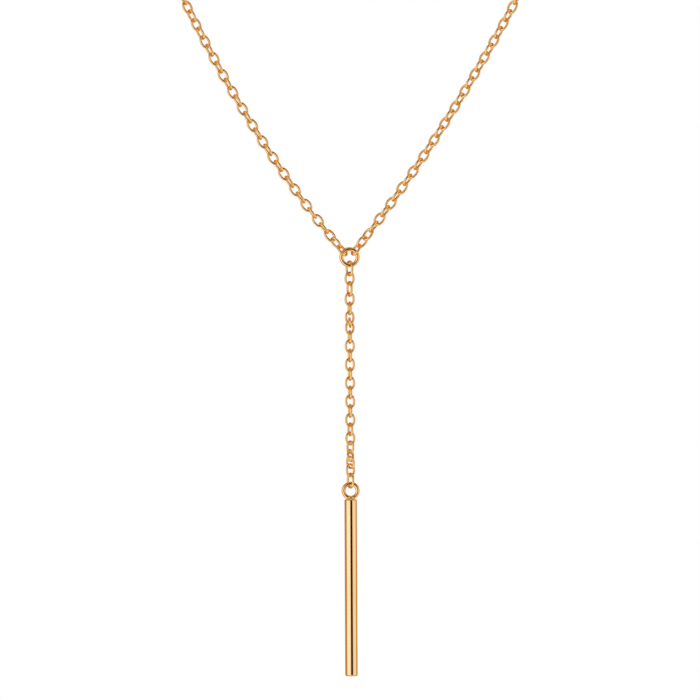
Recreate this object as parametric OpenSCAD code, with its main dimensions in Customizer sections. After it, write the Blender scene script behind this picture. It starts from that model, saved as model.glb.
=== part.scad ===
// Y necklace of fine cable chain. Two arms hang to a plain centre ring.
// A drop chain hangs from that ring and carries a slim round bar.
// The loop is closed at the nape by a round clasp and an end ring.
// Sizes are in millimetres. The origin is at the nape in the middle of the clasp.
// +Z is up, the front of the necklace faces -Y and +X is its right in front view.

/* [Loop] */
// Distance from the nape to the plane in which the front of the arms hangs
loop_depth = 100; // [92:1:108]
// Height of the nape above the middle of the centre ring
nape_rise = 84; // [78:1:90]
// Number of links in each arm
arm_links = 106; // [102:1:110]
// Length of each arm that hangs in the front plane
front_len = 60; // [54:1:64]
// How far the arms carry on in their front direction before turning back
shoulder_pull = 34; // [28:1:42]

/* [Left arm] */
// Where the left arm leaves the centre ring, sideways from its middle
left_start_x = 0.828; // [0.82:0.002:0.83]
// Where the left arm leaves the centre ring, above its middle
left_start_z = 0.629; // [0.62:0.001:0.63]
// Slope of the left arm at the centre ring
left_slope = 1.17; // [1.05:0.01:1.3]
// Catenary length of the left arm, smaller hangs rounder
left_sag = 67; // [60:1:130]

/* [Right arm] */
// Where the right arm leaves the centre ring, sideways from its middle
right_start_x = 0.748; // [0.74:0.002:0.75]
// Where the right arm leaves the centre ring, above its middle
right_start_z = 0.768; // [0.75:0.002:0.78]
// Slope of the right arm at the centre ring
right_slope = 1.25; // [1.05:0.01:1.35]
// Catenary length of the right arm, smaller hangs rounder
right_sag = 100; // [60:1:130]

/* [Chain links] */
// Thickness of the links' round wire
link_wire = 0.41; // [0.38:0.01:0.42]
// Bend of an arm link's middle line round its ends
arm_end_r = 0.66; // [0.64:0.01:0.7]
// Bend of an arm link's middle line along its sides
arm_side_r = 1.78; // [1.74:0.01:1.86]
// Bend round the ends of the first link of an arm, which holds the centre ring
first_end_r = 0.86; // [0.84:0.01:0.87]
// Bend of a drop link's middle line round its ends
drop_end_r = 0.68; // [0.66:0.01:0.7]
// Bend of a drop link's middle line along its sides
drop_side_r = 1.682; // [1.65:0.002:1.8]
// Clear distance between neighbouring pieces
piece_gap = 0.105; // [0.1:0.005:0.12]

/* [Drop] */
// Number of links in the drop, its three longer links included
drop_links = 25; // [21:2:25]
// Bend round the ends of the drop's longer links, its first, third and last
long_end_r = 0.95; // [0.93:0.01:0.98]
// Bend along the sides of the longer links
long_side_r = 1.84; // [1.8:0.01:1.9]

/* [Rings] */
// Outer diameter of the centre ring
centre_ring_od = 4.04; // [3.95:0.01:4.1]
// Wire of the centre ring and of the bar's ring
ring_wire = 0.8; // [0.78:0.01:0.82]
// Outer diameter of the ring on the bar
bar_ring_od = 3.62; // [3.56:0.01:3.7]
// Extra distance along the drop between a ring's wire and the link that it crosses
ring_hook = 0.17; // [0.17:0.01:0.3]

/* [Bar] */
// Diameter of the bar
bar_d = 2.5; // [2.2:0.05:2.8]
// Length of the bar
bar_len = 35.4; // [30:0.1:40]
// Rounding of the bar's upper edge
bar_top_round = 0.32; // [0.2:0.01:0.4]
// Rounding of the bar's lower edge
bar_foot_round = 0.4; // [0.2:0.01:0.5]
// How far the ring is let into the bar's top
ring_sink = 0.12; // [0.1:0.01:0.2]
// Diameter of the solder seat under the ring
seat_d = 1.5; // [1.2:0.1:1.8]
// Height of the solder seat, which holds the lowest part of the ring
seat_h = 0.42; // [0.2:0.01:0.5]

/* [Clasp] */
// Outer diameter of the clasp's ring
clasp_od = 5.3; // [5:0.1:5.6]
// Thickness of the clasp's round tube
clasp_wire = 1.1; // [1:0.05:1.2]
// Outer diameter of the clasp's eyelet
eyelet_od = 2.2; // [2.1:0.05:2.4]
// Wire of the eyelet
eyelet_wire = 0.6; // [0.5:0.05:0.65]
// Outer diameter of the end ring
end_ring_od = 3.6; // [3.5:0.05:4]
// Wire of the end ring
end_ring_wire = 0.6; // [0.5:0.05:0.65]

/* [Hidden] */
$fn = 24;

// Steps in the length tables of the hidden stretches
ROUTE_STEPS = 120;
// Search for a hidden stretch's reach: shortest, longest, halvings, steps of its route
REACH_LOW = 20;
REACH_HIGH = 160;
REACH_STEPS = 14;
REACH_ROUTE = 60;
// How far the eyelet's wire stands out of the clasp's tube where they are soldered
EYELET_PROUD = 0.05;
// How far the solder seat goes down into the bar
SEAT_ROOT = 0.1;

// Turn of the left arm about its own line: link number, degrees
LEFT_TWIST = [
  [0, -60],
  [1, -29],
  [2, -25],
  [3, -1],
  [4, -5],
  [5, 5],
  [9, -10],
  [17, -10],
  [25, -15],
  [28, -27],
  [31, -27],
  [105, -88]
];
// Turn of the right arm about its own line: link number, degrees
RIGHT_TWIST = [
  [0, -60],
  [1, -42],
  [2, -37],
  [3, -8],
  [4, -10],
  [5, -12],
  [11, -14],
  [14, -23],
  [34, -24],
  [105, -88]
];
// Turn of every second link against the links beside it: link number, degrees
CROSS_TURN = [
  [0, 78],
  [30, 78],
  [31, 97],
  [33, 90],
  [50, 88],
  [105, 88]
];
// Turn of the plain links in the drop, even links first, degrees
DROP_FACE = -8;
DROP_EDGE = 75;
// Lean in depth of the whole drop, degrees
DROP_LEAN = 0.76;
// Links of the drop that lie otherwise: link number, turn, added lean, then how far
// back and up the upper wire sits from the wire above, 0 where the link just hooks on
DROP_ODD = [
  [1, 58, 0, 0, 0],
  [3, 68, 0, 0, 0],
  [4, -4, 0, 0, 0],
  [6, 157, 0, 0, 0],
  [7, 84, -72, -0.8, 0.55],
  [8, -23, 0, -0.8, 0.55],
  [19, 64, 0, 0, 0],
  [20, -16, 0, 0, 0],
  [21, 44, 0, 0, 0],
  [22, 128, 24, 0.15, 0.63],
  [23, 34, -20, 0.1, 0.81],
  [24, 151, 0, -0.1, 0.72],
  [25, 60, 0, 0, 0]
];

front = [0, -loop_depth, -nape_rise];
centre_ring_r = (centre_ring_od - ring_wire) / 2;
bar_ring_r = (bar_ring_od - ring_wire) / 2;
clasp_r = (clasp_od - clasp_wire) / 2;
eyelet_r = (eyelet_od - eyelet_wire) / 2;
eyelet_x = -(clasp_od / 2 + eyelet_r - eyelet_wire / 2 + EYELET_PROUD);
end_ring_r = (end_ring_od - end_ring_wire) / 2;
end_ring_x = clasp_r - clasp_wire / 2 - piece_gap - end_ring_wire / 2 + end_ring_r;

// Pitch of the arms and their length from the centre ring to the nape
arm_span = arm_end_r + arm_side_r;
arm_pitch = arm_span - link_wire - piece_gap;
arm_len = arm_links * arm_pitch;
left_end_x = eyelet_x - eyelet_r + eyelet_wire / 2 + piece_gap;
right_end_x = end_ring_x + end_ring_r - end_ring_wire / 2 - piece_gap;

function unit(v) = v / norm(v);
function asinh(t) = ln(t + sqrt(t * t + 1));

// Arms: side, start x, start z, slope, sag, x of the end at the nape
LEFT = [-1, left_start_x, left_start_z, left_slope, left_sag, -left_end_x];
RIGHT = [1, right_start_x, right_start_z, right_slope, right_sag, right_end_x];

// Point at length s of an arm that hangs in the front plane under its own weight
function hang_t(arm, s) = arm[3] + s / arm[4];
function hang_x(arm, s) = arm[1] + arm[4] * (asinh(hang_t(arm, s)) - asinh(arm[3]));
function hang_rise(t) = sqrt(1 + t * t);
function hang_z(arm, s) = arm[2] + arm[4] * (hang_rise(hang_t(arm, s)) - hang_rise(arm[3]));
function hang(arm, s) = front + [arm[0] * hang_x(arm, s), 0, hang_z(arm, s)];
function hang_dir(arm, s) = unit([arm[0], 0, hang_t(arm, s)]);

// The hidden stretch is one cubic curve from the front plane round to the nape
function cubic(p, u) =
  p[0] * pow(1 - u, 3) + 3 * p[1] * u * pow(1 - u, 2)
  + 3 * p[2] * u * u * (1 - u) + p[3] * pow(u, 3);
function corners(arm, reach) = [
  hang(arm, front_len),
  hang(arm, front_len) + shoulder_pull * hang_dir(arm, front_len),
  [arm[0] * (arm[5] + reach), 0, 0],
  [arm[0] * arm[5], 0, 0]
];
function route(p, steps) = [for (i = [0:steps]) cubic(p, i / steps)];
function total(v, i = 0) = i >= len(v) ? 0 : v[i] + total(v, i + 1);
function length(pts) = total([for (i = [1:len(pts) - 1]) norm(pts[i] - pts[i - 1])]);

// Reach at the nape that gives the hidden stretch the length of its links
function find_reach(arm, want, low, high, n) =
  n == 0
    ? (low + high) / 2
    : length(route(corners(arm, (low + high) / 2), REACH_ROUTE)) < want
      ? find_reach(arm, want, (low + high) / 2, high, n - 1)
      : find_reach(arm, want, low, (low + high) / 2, n - 1);

// Table of length along a hidden stretch against the cubic's parameter
function length_table(pts) = [
  for (i = 0, s = 0; i < len(pts); s = i + 1 < len(pts) ? s + norm(pts[i + 1] - pts[i]) : s, i = i + 1)
    [s, i / (len(pts) - 1)]
];

hidden_len = arm_len - front_len;
left_corners = corners(LEFT, find_reach(LEFT, hidden_len, REACH_LOW, REACH_HIGH, REACH_STEPS));
right_corners = corners(RIGHT, find_reach(RIGHT, hidden_len, REACH_LOW, REACH_HIGH, REACH_STEPS));
left_table = length_table(route(left_corners, ROUTE_STEPS));
right_table = length_table(route(right_corners, ROUTE_STEPS));

// Bends of link i of an arm, all links being of one length
function arm_radii(i) = i == 0 ? [first_end_r, arm_span - first_end_r] : [arm_end_r, arm_side_r];

// Joint number i of an arm, counted from the centre ring
function arm_joint(arm, p, table, i) =
  i * arm_pitch < front_len
    ? hang(arm, i * arm_pitch)
    : cubic(p, lookup(i * arm_pitch - front_len, table));

// Distance between the middle lines of two hooked link ends that are turned by psi
function hook(psi) =
  let (
    d = link_wire + piece_gap,
    k = pow(sin(psi / 2), 2),
    r = drop_end_r
  )
  k >= d / (2 * r) ? d : 2 * r * (1 - sqrt((1 - k) * (1 - d * d / (4 * r * r * k))));
function between(a, b) = let (m = abs(a - b) % 180) min(m, 180 - m);

// Turn, lean and length of link i of the drop
function drop_row(i) =
  let (f = search(i, DROP_ODD))
  len(f) > 0 ? DROP_ODD[f[0]] : [i, i % 2 == 0 ? DROP_FACE : DROP_EDGE, 0, 0, 0];
function drop_turn(i) = drop_row(i)[1];
function drop_lean(i) = DROP_LEAN + drop_row(i)[2];
function drop_shift(i) = [0, drop_row(i)[3], drop_row(i)[4]];
function is_long(i) = i == 1 || i == 3 || i == drop_links;
function drop_dir(i) = [0, -sin(drop_lean(i)), -cos(drop_lean(i))];
function drop_radii(i) =
  is_long(i) ? [long_end_r, long_side_r] : [drop_end_r, drop_side_r];
function drop_span(i) = drop_radii(i)[0] + drop_radii(i)[1];

// Middle of the upper wire of link i of the drop
drop_top = front + [0, 0, -centre_ring_r + (ring_wire + link_wire) / 2 + ring_hook];
function next_top(i, top) =
  top + drop_span(i) * drop_dir(i)
  + (drop_shift(i + 1)[2] > 0
    ? drop_shift(i + 1)
    : -hook(between(drop_turn(i), drop_turn(i + 1))) * unit(drop_dir(i) + drop_dir(i + 1)));
DROP_TOPS = [
  for (i = 1, top = drop_top; i <= drop_links; top = i < drop_links ? next_top(i, top) : top, i = i + 1)
    top
];
drop_end = DROP_TOPS[drop_links - 1] + drop_span(drop_links) * drop_dir(drop_links);
bar_ring_z = drop_end[2] + (ring_wire + link_wire) / 2 + ring_hook - bar_ring_r;
bar_ring_mid = [drop_end[0], drop_end[1], bar_ring_z];

// Part of a link's wire, a bend of radius r over the given turn
module bend(r, start, sweep) {
  rotate_extrude(angle = sweep, start = start)
    translate([r, 0])
      circle(d = link_wire);
}

// Whole ring of round wire in the XY plane
module ring(r, wire) {
  rotate_extrude()
    translate([r, 0])
      circle(d = wire);
}

// Oval link of four bends in the XY plane with its length along X. The end bends
// turn by 120 degrees and the side bends by 60, so its length and its width
// follow from the two radii.
module oval_link(radii) {
  end_r = radii[0];
  side_r = radii[1];
  ahead = (side_r - end_r) * sin(30);
  aside = (side_r - end_r) * cos(30);
  translate([ahead, 0, 0])
    bend(end_r, -60, 120);
  translate([0, -aside, 0])
    bend(side_r, 60, 60);
  translate([-ahead, 0, 0])
    bend(end_r, 120, 120);
  translate([0, aside, 0])
    bend(side_r, 240, 60);
}

// Puts a link at a point, its length along dir and its face turned from out
module lay(mid, dir, out, turn) {
  across = cross(dir, out);
  face = cos(turn) * out + sin(turn) * across;
  wide = cross(face, dir);
  multmatrix([
    [dir[0], wide[0], face[0], mid[0]],
    [dir[1], wide[1], face[1], mid[1]],
    [dir[2], wide[2], face[2], mid[2]],
    [0, 0, 0, 1]
  ])
    children();
}

// One arm of the loop
module arm(arm, p, table, twist) {
  for (i = [0:arm_links - 1]) {
    from = arm_joint(arm, p, table, i);
    to = arm_joint(arm, p, table, i + 1);
    dir = unit(to - from);
    out = unit(arm[0] * [dir[1], -dir[0], 0]);
    lay((from + to) / 2, dir, out, arm[0] * (lookup(i, twist) + i % 2 * lookup(i, CROSS_TURN)))
      oval_link(arm_radii(i));
  }
}

module chain_left() {
  color("gold")
    arm(LEFT, left_corners, left_table, LEFT_TWIST);
}

module chain_right() {
  color("gold")
    arm(RIGHT, right_corners, right_table, RIGHT_TWIST);
}

module chain_drop() {
  color("gold")
    for (i = [1:drop_links]) {
      mid = DROP_TOPS[i - 1] + drop_span(i) / 2 * drop_dir(i);
      out = [0, -cos(drop_lean(i)), sin(drop_lean(i))];
      lay(mid, drop_dir(i), out, drop_turn(i))
        oval_link(drop_radii(i));
    }
}

module centre_ring() {
  color("gold")
    translate(front)
      rotate([90, 0, 0])
        ring(centre_ring_r, ring_wire);
}

// Outline of half the bar, with both edges rounded
module bar_outline() {
  r = bar_d / 2;
  square([r - bar_foot_round, bar_len]);
  translate([0, bar_foot_round])
    square([r, bar_len - bar_foot_round - bar_top_round]);
  square_top = r - bar_top_round;
  translate([0, bar_len / 2])
    square([square_top, bar_len / 2]);
  intersection() {
    translate([square_top, bar_len - bar_top_round])
      circle(bar_top_round);
    translate([0, bar_len - bar_top_round])
      square([r, bar_top_round]);
  }
  intersection() {
    translate([r - bar_foot_round, bar_foot_round])
      circle(bar_foot_round);
    square([r, bar_foot_round]);
  }
}

module bar() {
  color("gold")
    translate(bar_ring_mid) {
      rotate([90, 0, 0])
        ring(bar_ring_r, ring_wire);
      translate([0, 0, ring_sink - bar_ring_od / 2 - bar_len])
        rotate_extrude()
          bar_outline();
      translate([0, 0, ring_sink - bar_ring_od / 2 - SEAT_ROOT])
        cylinder(d = seat_d, h = seat_h + SEAT_ROOT);
    }
}

module clasp() {
  color("gold") {
    rotate([90, 0, 0])
      ring(clasp_r, clasp_wire);
    translate([eyelet_x, 0, 0])
      ring(eyelet_r, eyelet_wire);
  }
}

module end_ring() {
  color("gold")
    translate([end_ring_x, 0, 0])
      ring(end_ring_r, end_ring_wire);
}

bar();
centre_ring();
chain_drop();
chain_left();
chain_right();
clasp();
end_ring();
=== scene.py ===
import math

import bmesh
import bpy
from mathutils import Matrix, Vector


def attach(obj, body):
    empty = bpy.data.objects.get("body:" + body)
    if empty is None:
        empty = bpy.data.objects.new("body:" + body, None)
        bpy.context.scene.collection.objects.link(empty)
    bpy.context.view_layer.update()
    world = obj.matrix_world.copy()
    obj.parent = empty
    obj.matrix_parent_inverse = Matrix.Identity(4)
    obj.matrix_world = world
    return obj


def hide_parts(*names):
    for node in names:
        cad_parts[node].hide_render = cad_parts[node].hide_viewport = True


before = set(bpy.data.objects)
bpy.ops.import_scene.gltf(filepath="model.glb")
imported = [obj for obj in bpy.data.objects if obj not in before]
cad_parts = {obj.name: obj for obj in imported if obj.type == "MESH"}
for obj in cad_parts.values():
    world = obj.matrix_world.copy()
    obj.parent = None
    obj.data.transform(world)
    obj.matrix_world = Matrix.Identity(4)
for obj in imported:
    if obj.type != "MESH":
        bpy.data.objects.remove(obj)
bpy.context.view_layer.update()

# Sizes are in millimetres and turns in degrees, as in the part's source, and MM makes metres.
# The origin is at the nape, in the middle of the clasp, and the front faces -Y.
MM = 0.001

# The loop: how far in front of the nape and below it the centre ring hangs, the links of an arm,
# its length in the front plane, and how far it carries on before it turns back
LOOP_DEPTH = 100.0
NAPE_RISE = 84.0
ARM_LINKS = 106
FRONT_LENGTH = 60.0
SHOULDER_PULL = 34.0

# The stretch from there to the nape: steps in its length table, then the search for its
# reach, which halves the range from the shortest to the longest on a route of fewer steps
ROUTE_STEPS = 120
REACH_LOW = 20.0
REACH_HIGH = 160.0
REACH_HALVINGS = 14
REACH_ROUTE = 60

# A link is an oval of round wire. Its middle line has a bend of 120 degrees round each end and
# a flatter one of 60 along each side, and its length is the sum of the two radii.
END_SWEEP = 120
SIDE_SWEEP = 60
HALF_END_COS = 0.5
HALF_END_SIN = math.sqrt(3) / 2

# Wire of all links and the gap between pieces, then the links of the arms. The first link of
# an arm has wider ends, because it holds the centre ring.
LINK_WIRE = 0.41
PIECE_GAP = 0.105
ARM_END_R = 0.66
ARM_SIDE_R = 1.78
FIRST_END_R = 0.86
ARM_SPAN = ARM_END_R + ARM_SIDE_R
ARM_PITCH = ARM_SPAN - LINK_WIRE - PIECE_GAP

# Links of the drop, three of them longer
DROP_LINKS = 25
DROP_END_R = 0.68
DROP_SIDE_R = 1.682
LONG_LINKS = (1, 3, DROP_LINKS)
LONG_END_R = 0.95
LONG_SIDE_R = 1.84

# Rings of the drop, and the extra distance between a ring's wire and the link that crosses it
CENTRE_RING_OD = 4.04
BAR_RING_OD = 3.62
RING_WIRE = 0.8
RING_HOOK = 0.17

# The bar, how far its ring is let into its top, and the solder seat round the ring's foot
BAR_D = 2.5
BAR_LENGTH = 35.4
BAR_TOP_ROUND = 0.32
BAR_FOOT_ROUND = 0.4
RING_SINK = 0.12
SEAT_D = 1.5
SEAT_H = 0.42
SEAT_ROUND = 0.07

# Clasp with its eyelet, whose wire stands a little out of the clasp's, and the ring it holds
CLASP_OD = 5.3
CLASP_WIRE = 1.1
EYELET_OD = 2.2
EYELET_WIRE = 0.6
EYELET_PROUD = 0.05
END_RING_OD = 3.6
END_RING_WIRE = 0.6

# Arms: side, start from the centre ring's middle, slope there, catenary length
LEFT = {"side": -1, "x": 0.828, "z": 0.629, "slope": 1.17, "sag": 67.0}
RIGHT = {"side": 1, "x": 0.748, "z": 0.768, "slope": 1.25, "sag": 100.0}

# Turn of the arms about their own line: link number, degrees
LEFT_TWIST = [
    (0, -60), (1, -29), (2, -25), (3, -1), (4, -5), (5, 5), (9, -10),
    (17, -10), (25, -15), (28, -27), (31, -27), (105, -88),
]
RIGHT_TWIST = [
    (0, -60), (1, -42), (2, -37), (3, -8), (4, -10), (5, -12), (11, -14),
    (14, -23), (34, -24), (105, -88),
]
# Turn of every second link against the links beside it
CROSS_TURN = [(0, 78), (30, 78), (31, 97), (33, 90), (50, 88), (105, 88)]

# Turn of the drop's plain links, even ones and odd ones, and the drop's lean in depth
DROP_FACE = -8
DROP_EDGE = 75
DROP_LEAN = 0.76
# Drop links that lie otherwise: turn, added lean, then how far back and up the upper wire sits
# from the wire above, 0 where the link just hooks on
DROP_ODD = {
    1: (58, 0, 0, 0),
    3: (68, 0, 0, 0),
    4: (-4, 0, 0, 0),
    6: (157, 0, 0, 0),
    7: (84, -72, -0.8, 0.55),
    8: (-23, 0, -0.8, 0.55),
    19: (64, 0, 0, 0),
    20: (-16, 0, 0, 0),
    21: (44, 0, 0, 0),
    22: (128, 24, 0.15, 0.63),
    23: (34, -20, 0.1, 0.81),
    24: (151, 0, -0.1, 0.72),
    25: (60, 0, 0, 0),
}

FRONT = Vector((0, -LOOP_DEPTH, -NAPE_RISE))
CENTRE_RING_R = (CENTRE_RING_OD - RING_WIRE) / 2
BAR_RING_R = (BAR_RING_OD - RING_WIRE) / 2
CLASP_R = (CLASP_OD - CLASP_WIRE) / 2
EYELET_R = (EYELET_OD - EYELET_WIRE) / 2
EYELET_X = -(CLASP_OD / 2 + EYELET_R - EYELET_WIRE / 2 + EYELET_PROUD)
END_RING_R = (END_RING_OD - END_RING_WIRE) / 2
END_RING_X = CLASP_R - CLASP_WIRE / 2 - PIECE_GAP - END_RING_WIRE / 2 + END_RING_R
LEFT["end_x"] = -(EYELET_X - EYELET_R + EYELET_WIRE / 2 + PIECE_GAP)
RIGHT["end_x"] = END_RING_X + END_RING_R - END_RING_WIRE / 2 - PIECE_GAP

# The solids' links keep a gap of 0.1 mm, so their wire is thin. Here they all but touch,
# as real ones do, with wire as thick as the photo's.
LINK_LOOK = 0.50

# A link's cage has few faces, one to each CAGE_STEP degrees of a bend, and is smoothed to the
# link's true size. The smoothing leaves WIRE_KEEP of its section's radius.
CAGE_SIDES = 6
CAGE_STEP = 30
WIRE_KEEP = (4 + 2 * math.cos(math.tau / CAGE_SIDES)) / 6

# Faces round a ring's wire, then steps round a ring, round the bar and along a rounded edge
RING_SIDES = 24
RING_STEPS = 72
BAR_STEPS = 96
ROUND_STEPS = 8
FULL_TURN = 360

# Points nearer than this are merged
MERGE = 1e-4

# A ring made flat turns upright, its face to the front
UPRIGHT = Matrix.Rotation(math.radians(90), 4, "X")


# The chains' lines

def table_value(table, x):
    """Value of a table at x, straight between its rows."""
    for (x0, y0), (x1, y1) in zip(table, table[1:]):
        if x <= x1:
            return y0 + (y1 - y0) * (x - x0) / (x1 - x0)
    return table[-1][1]


def hang(arm, s):
    """Point at length s of an arm that hangs in the front plane under its own weight."""
    t0, a = arm["slope"], arm["sag"]
    t = t0 + s / a
    x = arm["x"] + a * (math.asinh(t) - math.asinh(t0))
    z = arm["z"] + a * (math.hypot(1, t) - math.hypot(1, t0))
    return FRONT + Vector((arm["side"] * x, 0, z))


def hang_dir(arm, s):
    return Vector((arm["side"], 0, arm["slope"] + s / arm["sag"])).normalized()


def cubic(p, u):
    v = 1 - u
    return p[0] * v**3 + p[1] * 3 * u * v**2 + p[2] * 3 * u**2 * v + p[3] * u**3


def corners(arm, reach):
    """Corners of the cubic curve from the front plane round to the nape.

    It comes in to its end at the nape from the side, from the reach further out.
    """
    start = hang(arm, FRONT_LENGTH)
    return [
        start,
        start + SHOULDER_PULL * hang_dir(arm, FRONT_LENGTH),
        Vector((arm["side"] * (arm["end_x"] + reach), 0, 0)),
        Vector((arm["side"] * arm["end_x"], 0, 0)),
    ]


def route(p, steps):
    return [cubic(p, i / steps) for i in range(steps + 1)]


def hidden_corners(arm):
    """Corners with the reach that gives the arm its whole length."""
    want = ARM_LINKS * ARM_PITCH - FRONT_LENGTH
    low, high = REACH_LOW, REACH_HIGH
    for _ in range(REACH_HALVINGS):
        middle = (low + high) / 2
        points = route(corners(arm, middle), REACH_ROUTE)
        run = sum((b - a).length for a, b in zip(points, points[1:]))
        low, high = (middle, high) if run < want else (low, middle)
    return corners(arm, (low + high) / 2)


def arm_joints(arm):
    """Points at which an arm's links meet, one pitch apart along its line."""
    p = hidden_corners(arm)
    points = route(p, ROUTE_STEPS)
    table, run = [(0.0, 0.0)], 0.0
    for i in range(1, len(points)):
        run += (points[i] - points[i - 1]).length
        table.append((run, i / ROUTE_STEPS))
    joints = []
    for i in range(ARM_LINKS + 1):
        s = i * ARM_PITCH
        if s < FRONT_LENGTH:
            joints.append(hang(arm, s))
        else:
            joints.append(cubic(p, table_value(table, s - FRONT_LENGTH)))
    return joints


def lay(middle, along, out, turn):
    """Matrix that puts a link at a point, its length along a line, its face turned from out."""
    a = math.radians(turn)
    face = math.cos(a) * out + math.sin(a) * along.cross(out)
    wide = face.cross(along)
    m = Matrix((along, wide, face)).transposed().to_4x4()
    m.translation = middle * MM
    return m


def arm_rows(arm, twist):
    """Bends and place of every link of an arm."""
    joints = arm_joints(arm)
    rows = []
    for i in range(ARM_LINKS):
        along = (joints[i + 1] - joints[i]).normalized()
        out = (arm["side"] * Vector((along.y, -along.x, 0))).normalized()
        turn = table_value(twist, i) + i % 2 * table_value(CROSS_TURN, i)
        end_r = FIRST_END_R if i == 0 else ARM_END_R
        middle = (joints[i] + joints[i + 1]) / 2
        rows.append((end_r, ARM_SPAN - end_r, lay(middle, along, out, arm["side"] * turn)))
    return rows


def overlap(turn):
    """How far two hooked ends reach past each other, one link turned against the other."""
    d, r = LINK_WIRE + PIECE_GAP, DROP_END_R
    k = math.sin(math.radians(turn) / 2) ** 2
    if k >= d / (2 * r):
        return d
    return 2 * r * (1 - math.sqrt((1 - k) * (1 - d * d / (4 * r * r * k))))


def drop_row(i):
    return DROP_ODD.get(i, (DROP_EDGE if i % 2 else DROP_FACE, 0, 0, 0))


def drop_dir(i):
    lean = math.radians(DROP_LEAN + drop_row(i)[1])
    return Vector((0, -math.sin(lean), -math.cos(lean)))


def drop_radii(i):
    if i in LONG_LINKS:
        return LONG_END_R, LONG_SIDE_R
    return DROP_END_R, DROP_SIDE_R


def drop_rows():
    """Bends and place of every link of the drop, and the middle of its lowest wire."""
    top = FRONT + Vector((0, 0, -CENTRE_RING_R + (RING_WIRE + LINK_WIRE) / 2 + RING_HOOK))
    rows = []
    for i in range(1, DROP_LINKS + 1):
        turn = drop_row(i)[0]
        along = drop_dir(i)
        out = Vector((0, along.z, -along.y))
        span = sum(drop_radii(i))
        rows.append((*drop_radii(i), lay(top + span / 2 * along, along, out, turn)))
        end = top + span * along
        if i < DROP_LINKS:
            after, _, back, up = drop_row(i + 1)
            if up > 0:
                top = end + Vector((0, back, up))
            else:
                m = abs(turn - after) % 180
                top = end - overlap(min(m, 180 - m)) * (along + drop_dir(i + 1)).normalized()
    return rows, end


# Making the meshes

def spin(bm, geom, centre, sweep, steps):
    """Turns a section about the upright line through a point."""
    made = bmesh.ops.spin(
        bm, geom=geom, cent=centre, axis=(0, 0, 1), dvec=(0, 0, 0), angle=math.radians(sweep),
        space=Matrix.Identity(4), steps=steps, use_merge=sweep == FULL_TURN,
        use_normal_flip=False, use_duplicate=False,
    )
    return made["geom_last"]


def section(bm, radius, centre, heading, sides):
    """Circle of a wire's section, in the plane that holds Z and the line from the bend's middle."""
    a = math.radians(heading)
    m = Matrix(((math.cos(a), 0, -math.sin(a)), (math.sin(a), 0, math.cos(a)), (0, 1, 0)))
    m = m.to_4x4()
    m.translation = centre
    made = bmesh.ops.create_circle(bm, cap_ends=False, segments=sides, radius=radius, matrix=m)
    edges = dict.fromkeys(e for v in made["verts"] for e in v.link_edges)
    return made["verts"] + list(edges)


def cage_bends(end_r, side_r):
    """End and side bends of the cage that smooths to a link with these bends."""
    slack = (1 - math.cos(math.radians(CAGE_STEP))) / 3
    length = (side_r + end_r) / 2
    width = side_r * (1 - HALF_END_SIN) + end_r * HALF_END_SIN
    # The smoothed half length and half width are two linear equations in the cage's two bends
    long_side, long_end = HALF_END_COS, HALF_END_COS - slack
    wide_side, wide_end = 1 - HALF_END_SIN - slack, HALF_END_SIN
    whole = long_side * wide_end - long_end * wide_side
    return (
        (long_side * width - wide_side * length) / whole,
        (wide_end * length - long_end * width) / whole,
    )


def link_cage(end_r, side_r):
    """Cage of a link, its length along X, in millimetres until its last step."""
    bm = bmesh.new()
    end_r, side_r = cage_bends(end_r, side_r)
    ahead = (side_r - end_r) * HALF_END_COS
    aside = (side_r - end_r) * HALF_END_SIN
    start = Vector((ahead + end_r * HALF_END_COS, -end_r * HALF_END_SIN, 0))
    geom = section(bm, LINK_LOOK / 2 / WIRE_KEEP, start, -END_SWEEP / 2, CAGE_SIDES)
    for centre, sweep in (
        ((ahead, 0, 0), END_SWEEP),
        ((0, -aside, 0), SIDE_SWEEP),
        ((-ahead, 0, 0), END_SWEEP),
        ((0, aside, 0), SIDE_SWEEP),
    ):
        geom = spin(bm, geom, centre, sweep, sweep // CAGE_STEP)
    bmesh.ops.remove_doubles(bm, verts=bm.verts, dist=MERGE)
    bmesh.ops.scale(bm, vec=(MM, MM, MM), verts=bm.verts)
    bmesh.ops.recalc_face_normals(bm, faces=bm.faces)
    return bm


def finish_mesh(bm, name, node, body, materials, levels=0):
    """Piece that rides on a body and stands for the solid of a node."""
    for f in bm.faces:
        f.smooth = True
    mesh = bpy.data.meshes.new(name)
    bm.to_mesh(mesh)
    bm.free()
    piece = bpy.data.objects.new(name, mesh)
    bpy.context.scene.collection.objects.link(piece)
    for material in materials:
        mesh.materials.append(material)
    if levels:
        smooth = piece.modifiers.new("smooth", "SUBSURF")
        smooth.levels = smooth.render_levels = levels
        smooth.use_limit_surface = True
    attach(piece, body)
    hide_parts(node)


def chain_piece(name, node, material, rows):
    """Piece of many links, each laid from the cage of its bends."""
    whole = bmesh.new()
    cages = {}
    for end_r, side_r, place in rows:
        key = (end_r, side_r)
        if key not in cages:
            cage = link_cage(end_r, side_r)
            cages[key] = bpy.data.meshes.new("cage")
            cage.to_mesh(cages[key])
            cage.free()
        before = len(whole.verts)
        whole.from_mesh(cages[key])
        whole.verts.ensure_lookup_table()
        bmesh.ops.transform(whole, matrix=place, verts=whole.verts[before:])
    for mesh in cages.values():
        bpy.data.meshes.remove(mesh)
    finish_mesh(whole, name, node, "loop", [material], levels=1)


def at(point):
    return Matrix.Translation(Vector(point) * MM)


def added(bm, before):
    return [v for v in bm.verts if v not in before]


def ring(bm, radius, wire, place):
    """Round ring of round wire that lies flat before it is placed."""
    before = set(bm.verts)
    geom = section(bm, wire / 2 * MM, Vector((radius * MM, 0, 0)), 0, RING_SIDES)
    spin(bm, geom, (0, 0, 0), FULL_TURN, RING_STEPS)
    made = added(bm, before)
    bmesh.ops.transform(bm, matrix=place, verts=made)
    return made


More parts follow.
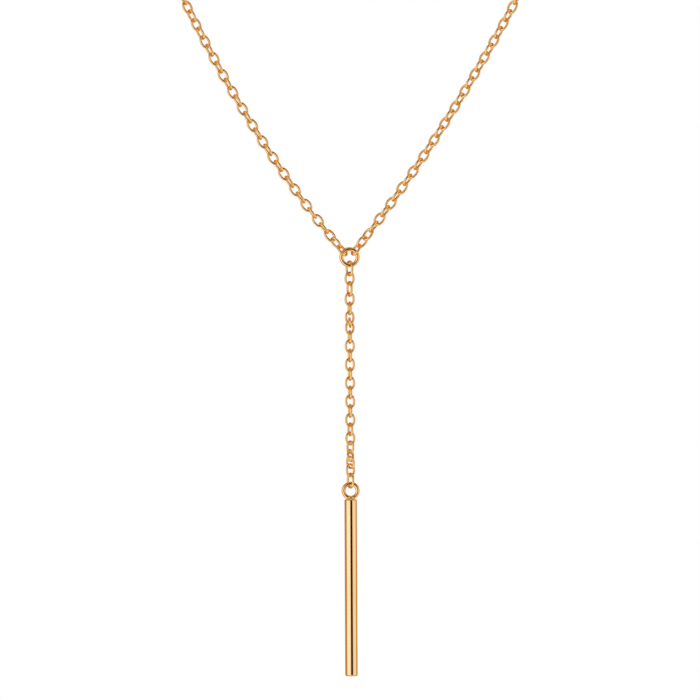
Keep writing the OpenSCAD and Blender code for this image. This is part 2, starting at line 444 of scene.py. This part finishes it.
def ring_piece(name, node, material, places):
    """Piece of the loop made of rings, each with its radius, wire and place."""
    bm = bmesh.new()
    for radius, wire, place in places:
        ring(bm, radius, wire, place)
    bmesh.ops.recalc_face_normals(bm, faces=bm.faces)
    finish_mesh(bm, name, node, "loop", [material])


def lathe(bm, outline, place):
    """Solid turned about Z from an outline of radius and height."""
    before = set(bm.verts)
    verts = [bm.verts.new((r * MM, 0, z * MM)) for r, z in outline]
    edges = [bm.edges.new(pair) for pair in zip(verts, verts[1:])]
    spin(bm, verts + edges, (0, 0, 0), FULL_TURN, BAR_STEPS)
    bmesh.ops.remove_doubles(bm, verts=added(bm, before), dist=MERGE * MM)
    bmesh.ops.transform(bm, matrix=place, verts=added(bm, before))


def rounded(centre, radius, start, stop):
    """Rounded edge in an outline, from one heading to another."""
    points = []
    for i in range(ROUND_STEPS + 1):
        a = math.radians(start + (stop - start) * i / ROUND_STEPS)
        points.append((centre[0] + radius * math.cos(a), centre[1] + radius * math.sin(a)))
    return points


def bar_outline():
    """Outline of the bar and its seat from the foot up, heights from the ring's middle."""
    top = RING_SINK - BAR_RING_OD / 2
    foot = top - BAR_LENGTH
    seat_top = top + SEAT_H
    side = BAR_D / 2
    seat_side = SEAT_D / 2
    return [
        (0, foot),
        *rounded((side - BAR_FOOT_ROUND, foot + BAR_FOOT_ROUND), BAR_FOOT_ROUND, -90, 0),
        *rounded((side - BAR_TOP_ROUND, top - BAR_TOP_ROUND), BAR_TOP_ROUND, 0, 90),
        (seat_side, top),
        *rounded((seat_side - SEAT_ROUND, seat_top - SEAT_ROUND), SEAT_ROUND, 0, 90),
        (0, seat_top),
    ]


def bar_piece(drop_end, bar_material, ring_material):
    """Bar with the ring that hangs in the drop's lowest link."""
    middle = drop_end + Vector((0, 0, (RING_WIRE + LINK_WIRE) / 2 + RING_HOOK - BAR_RING_R))
    bm = bmesh.new()
    for v in ring(bm, BAR_RING_R, RING_WIRE, at(middle) @ UPRIGHT):
        for f in v.link_faces:
            f.material_index = 1
    lathe(bm, bar_outline(), at(middle))
    bmesh.ops.recalc_face_normals(bm, faces=bm.faces)
    materials = [bar_material, ring_material]
    finish_mesh(bm, "bar_with_ring", "bar", "pendant", materials)


# Tones of the plating
BAR_TONE = (0.930, 0.720, 0.465)
RING_TONE = (0.975, 0.680, 0.370)
CHAIN_TONE = (0.980, 0.704, 0.345)
# A soft cloud shifts the tone from a darker one to a paler one, over the middle of its range
CLOUD_DETAIL = 2.0
CLOUD_FROM = 0.3
CLOUD_TO = 0.7
CLOUD_DARK = (0.985, 0.96, 0.92)
CLOUD_PALE = (1, 1.03, 1.06)
# Fine marks shift the gloss, in shares of the roughness, and the level, in metres
MARK_DETAIL = 4.0
GLOSS_LOW = 0.75
GLOSS_HIGH = 1.3
MARK_DEPTH = 0.00002


def plating(name, tone, roughness, cloud_scale, mark_scale, bump):
    """Polished plating: even colour with faint changes of tone, gloss and level."""
    m = bpy.data.materials.new(name)
    m.use_nodes = True
    nodes, links = m.node_tree.nodes, m.node_tree.links
    shader = nodes["Principled BSDF"]
    shader.inputs["Metallic"].default_value = 1.0
    where = nodes.new("ShaderNodeTexCoord")

    def noise(scale, detail):
        n = nodes.new("ShaderNodeTexNoise")
        n.inputs["Scale"].default_value = scale
        n.inputs["Detail"].default_value = detail
        links.new(where.outputs["Object"], n.inputs["Vector"])
        return n.outputs["Fac"]

    tones = nodes.new("ShaderNodeValToRGB")
    dark, pale = tones.color_ramp.elements
    dark.position = CLOUD_FROM
    dark.color = (*(t * shift for t, shift in zip(tone, CLOUD_DARK)), 1)
    pale.position = CLOUD_TO
    pale.color = (*(t * shift for t, shift in zip(tone, CLOUD_PALE)), 1)
    links.new(noise(cloud_scale, CLOUD_DETAIL), tones.inputs["Fac"])
    links.new(tones.outputs["Color"], shader.inputs["Base Color"])

    marks = noise(mark_scale, MARK_DETAIL)
    gloss = nodes.new("ShaderNodeMapRange")
    gloss.inputs["To Min"].default_value = roughness * GLOSS_LOW
    gloss.inputs["To Max"].default_value = roughness * GLOSS_HIGH
    links.new(marks, gloss.inputs["Value"])
    links.new(gloss.outputs["Result"], shader.inputs["Roughness"])

    level = nodes.new("ShaderNodeBump")
    level.inputs["Strength"].default_value = bump
    level.inputs["Distance"].default_value = MARK_DEPTH
    links.new(marks, level.inputs["Height"])
    links.new(level.outputs["Normal"], shader.inputs["Normal"])
    return m


bar_metal = plating(
    "bar_plating", BAR_TONE, roughness=0.07, cloud_scale=90.0, mark_scale=900.0, bump=0.05,
)
ring_metal = plating(
    "ring_plating", RING_TONE, roughness=0.13, cloud_scale=300.0, mark_scale=2500.0, bump=0.08,
)
chain_metal = plating(
    "chain_plating", CHAIN_TONE, roughness=0.15, cloud_scale=250.0, mark_scale=4000.0, bump=0.12,
)
clasp_metal = plating(
    "clasp_plating", BAR_TONE, roughness=0.10, cloud_scale=300.0, mark_scale=2500.0, bump=0.08,
)


# The pieces

chain_piece("links_left", "chain_left", chain_metal, arm_rows(LEFT, LEFT_TWIST))
chain_piece("links_right", "chain_right", chain_metal, arm_rows(RIGHT, RIGHT_TWIST))
drop_links, drop_foot = drop_rows()
chain_piece("links_drop", "chain_drop", chain_metal, drop_links)
ring_piece("ring_middle", "centre_ring", ring_metal, [
    (CENTRE_RING_R, RING_WIRE, at(FRONT) @ UPRIGHT),
])
bar_piece(drop_foot, bar_metal, ring_metal)
ring_piece("clasp_round", "clasp", clasp_metal, [
    (CLASP_R, CLASP_WIRE, UPRIGHT),
    (EYELET_R, EYELET_WIRE, at((EYELET_X, 0, 0))),
])
ring_piece("ring_last", "end_ring", ring_metal, [
    (END_RING_R, END_RING_WIRE, at((END_RING_X, 0, 0))),
])


# Floor, in metres. The coloured light would tint it, so part of its pale tone is its own glow.
FLOOR_Z = -0.26
FLOOR_R = 2.0
FLOOR_SIDES = 96
FLOOR_TONE = (0.3, 0.3, 0.3)
FLOOR_GLOW = (0.62, 0.66, 0.71)
FLOOR_ROUGHNESS = 0.8


def lay_floor():
    bm = bmesh.new()
    bmesh.ops.create_circle(
        bm, cap_ends=True, segments=FLOOR_SIDES, radius=FLOOR_R,
        matrix=Matrix.Translation((0, 0, FLOOR_Z)),
    )
    mesh = bpy.data.meshes.new("floor")
    bm.to_mesh(mesh)
    bm.free()
    floor = bpy.data.objects.new("floor", mesh)
    bpy.context.scene.collection.objects.link(floor)
    paint = bpy.data.materials.new("floor_paint")
    paint.use_nodes = True
    shader = paint.node_tree.nodes["Principled BSDF"]
    shader.inputs["Base Color"].default_value = (*FLOOR_TONE, 1)
    shader.inputs["Roughness"].default_value = FLOOR_ROUGHNESS
    shader.inputs["Emission Color"].default_value = (*FLOOR_GLOW, 1)
    shader.inputs["Emission Strength"].default_value = 1.0
    mesh.materials.append(paint)
    floor.visible_glossy = False


# Light round the object. Azimuth goes from the camera towards +X, elevation up from level.
# Soft boxes: azimuth, half width, edge softness, lower and upper elevation, colour
SOFT_BOXES = [
    (-46, 39.5, 4, -60, 24, (1.05, 0.83, 0.53)),
    (-46, 25, 8, -55, 18, (1.04, 1.12, 1.15)),
    (68, 36.5, 5, -60, 24, (1.03, 0.82, 0.57)),
    (62, 12, 9, -60, 20, (1.03, 0.90, 0.71)),
    (165, 9, 5, -40, 22, (0.85, 0.55, 0.28)),
    (-165, 9, 5, -40, 22, (0.85, 0.55, 0.28)),
]
BOX_END_SOFTNESS = 14
# Brown surround, and the elevations over which it turns to its upper tone
SURROUND = (0.56, 0.28, 0.06)
SURROUND_HIGH = (0.55, 0.28, 0.07)
SURROUND_RISE = (10, 34)
# The gap on the camera's side is dark at its height, brown above and pale as a table below.
# It turns to the surround over the azimuths of GAP_SIDE, on both sides.
GAP = (0.02, 0.007, 0.001)
GAP_HIGH = (0.58, 0.35, 0.11)
GAP_LOW = (1.00, 0.72, 0.33)
GAP_RISE = (30, 60)
GAP_FOOT = (-60, -24)
GAP_SIDE = (24, 60)
# Pale light overhead
OVERHEAD = (0.82, 0.57, 0.25)
OVERHEAD_RISE = (48, 80)


def studio_world():
    world = bpy.data.worlds.new("studio")
    bpy.context.scene.world = world
    world.use_nodes = True
    nodes, links = world.node_tree.nodes, world.node_tree.links
    nodes.clear()

    def maths(kind, *values):
        n = nodes.new("ShaderNodeMath")
        n.operation = kind
        for i, v in enumerate(values):
            if isinstance(v, (int, float)):
                n.inputs[i].default_value = v
            else:
                links.new(v, n.inputs[i])
        return n.outputs[0]

    def smooth(value, low, high):
        n = nodes.new("ShaderNodeMapRange")
        n.interpolation_type = "SMOOTHSTEP"
        links.new(value, n.inputs["Value"])
        n.inputs["From Min"].default_value = low
        n.inputs["From Max"].default_value = high
        return n.outputs["Result"]

    def mixed(a, b, share):
        n = nodes.new("ShaderNodeMix")
        n.data_type = "RGBA"
        links.new(share, n.inputs["Factor"])
        for name, v in (("A", a), ("B", b)):
            socket = next(i for i in n.inputs if i.name == name and i.type == "RGBA")
            if isinstance(v, tuple):
                socket.default_value = (*v, 1)
            else:
                links.new(v, socket)
        return next(o for o in n.outputs if o.type == "RGBA")

    where = nodes.new("ShaderNodeTexCoord")
    split = nodes.new("ShaderNodeSeparateXYZ")
    links.new(where.outputs["Generated"], split.inputs[0])
    x, y, z = split.outputs
    degrees = 180 / math.pi
    azimuth = maths("MULTIPLY", maths("ARCTAN2", x, maths("MULTIPLY", y, -1)), degrees)
    elevation = maths("MULTIPLY", maths("ARCSINE", z), degrees)

    gap = mixed(GAP, GAP_HIGH, smooth(elevation, *GAP_RISE))
    gap = mixed(GAP_LOW, gap, smooth(elevation, *GAP_FOOT))
    surround = mixed(SURROUND, SURROUND_HIGH, smooth(elevation, *SURROUND_RISE))
    colour = mixed(gap, surround, smooth(maths("ABSOLUTE", azimuth), *GAP_SIDE))
    for middle, half_width, soft, low, high, tint in SOFT_BOXES:
        across = maths("ABSOLUTE", maths("SUBTRACT", azimuth, middle))
        share = maths("SUBTRACT", 1, smooth(across, half_width - soft, half_width + soft))
        foot = smooth(elevation, low - BOX_END_SOFTNESS, low + BOX_END_SOFTNESS)
        head = smooth(elevation, high - BOX_END_SOFTNESS, high + BOX_END_SOFTNESS)
        share = maths("MULTIPLY", maths("MULTIPLY", share, foot), maths("SUBTRACT", 1, head))
        colour = mixed(colour, tint, share)
    colour = mixed(colour, OVERHEAD, smooth(elevation, *OVERHEAD_RISE))

    # The object is lit and mirrored in this light, and stands before plain white
    lit = nodes.new("ShaderNodeBackground")
    links.new(colour, lit.inputs["Color"])
    plain = nodes.new("ShaderNodeBackground")
    plain.inputs["Color"].default_value = (1, 1, 1, 1)
    path = nodes.new("ShaderNodeLightPath")
    pick = nodes.new("ShaderNodeMixShader")
    links.new(path.outputs["Is Camera Ray"], pick.inputs[0])
    links.new(lit.outputs[0], pick.inputs[1])
    links.new(plain.outputs[0], pick.inputs[2])
    out = nodes.new("ShaderNodeOutputWorld")
    links.new(pick.outputs[0], out.inputs["Surface"])


# View: its width at the front plane, its distance from it and its clipping in metres, then its
# middle below and beside the centre ring's in millimetres and its roll in degrees
VIEW_WIDTH = 0.14
VIEW_RANGE = 2.0
VIEW_CLIP = 20
VIEW_LOWER = 18.56
VIEW_ASIDE = 0.013
VIEW_ROLL = 0.27


def place_camera():
    data = bpy.data.cameras.new("camera")
    data.lens = data.sensor_width * VIEW_RANGE / VIEW_WIDTH
    data.clip_end = VIEW_CLIP
    camera = bpy.data.objects.new("camera", data)
    bpy.context.scene.collection.objects.link(camera)
    bpy.context.scene.camera = camera
    place = Matrix.Rotation(math.radians(VIEW_ROLL), 4, "Y") @ UPRIGHT
    place.translation = (
        VIEW_ASIDE * MM,
        -LOOP_DEPTH * MM - VIEW_RANGE,
        (-NAPE_RISE - VIEW_LOWER) * MM,
    )
    camera.matrix_world = place


lay_floor()
studio_world()
bpy.context.scene.view_settings.view_transform = "Standard"
place_camera()
